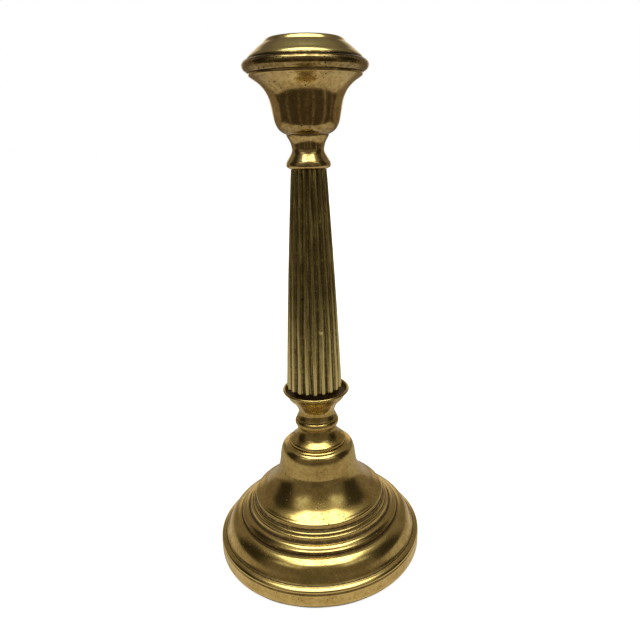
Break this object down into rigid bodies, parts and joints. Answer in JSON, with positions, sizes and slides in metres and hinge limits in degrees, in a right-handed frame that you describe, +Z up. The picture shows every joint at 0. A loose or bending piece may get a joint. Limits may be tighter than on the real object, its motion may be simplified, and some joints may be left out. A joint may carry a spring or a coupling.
{
  "type": "brass candlestick",
  "caption": "Turned brass candlestick: stepped round foot, ring knop, tapering fluted column and a bell-shaped cup with a lift-out drip pan and candle socket.",
  "frame": {"origin": "centre of the felt's underside, on the surface that the candlestick stands on", "axes": "+Z up the turning axis from the foot to the candle; +X to the right and -Y towards the viewer"},
  "size_m": [0.1184, 0.1184, 0.2804],
  "materials": {
    "pan_brass": "polished, faintly greenish",
    "cup_brass": "polished, mottled and pitted",
    "column_brass": "tarnished olive brown, brighter lands",
    "foot_brass": "worn polish with fine specks",
    "steel": "dull, lightly stained",
    "felt": "dark green baize"
  },
  "bodies": {
    "stand": {"baize_pad": "felt", "foot": "foot_brass", "clamp_plate": "steel", "lock_washer": "steel", "foot_nut": "steel", "foot_cap": "foot_brass", "ring_knop": "foot_brass", "column_seat": "foot_brass", "fluted_column": "column_brass", "cup_neck": "cup_brass", "candle_cup": "cup_brass", "cup_washer": "steel", "cup_nut": "steel", "tie_rod": "steel"},
    "nozzle": {"drip_pan": "pan_brass", "candle_socket": "pan_brass"}
  },
  "joints": [
    {"name": "nozzle_lift", "type": "slide", "parent": "stand", "child": "nozzle", "axis": [0, 0, 1], "range_m": [0, 0.03]}
  ]
}
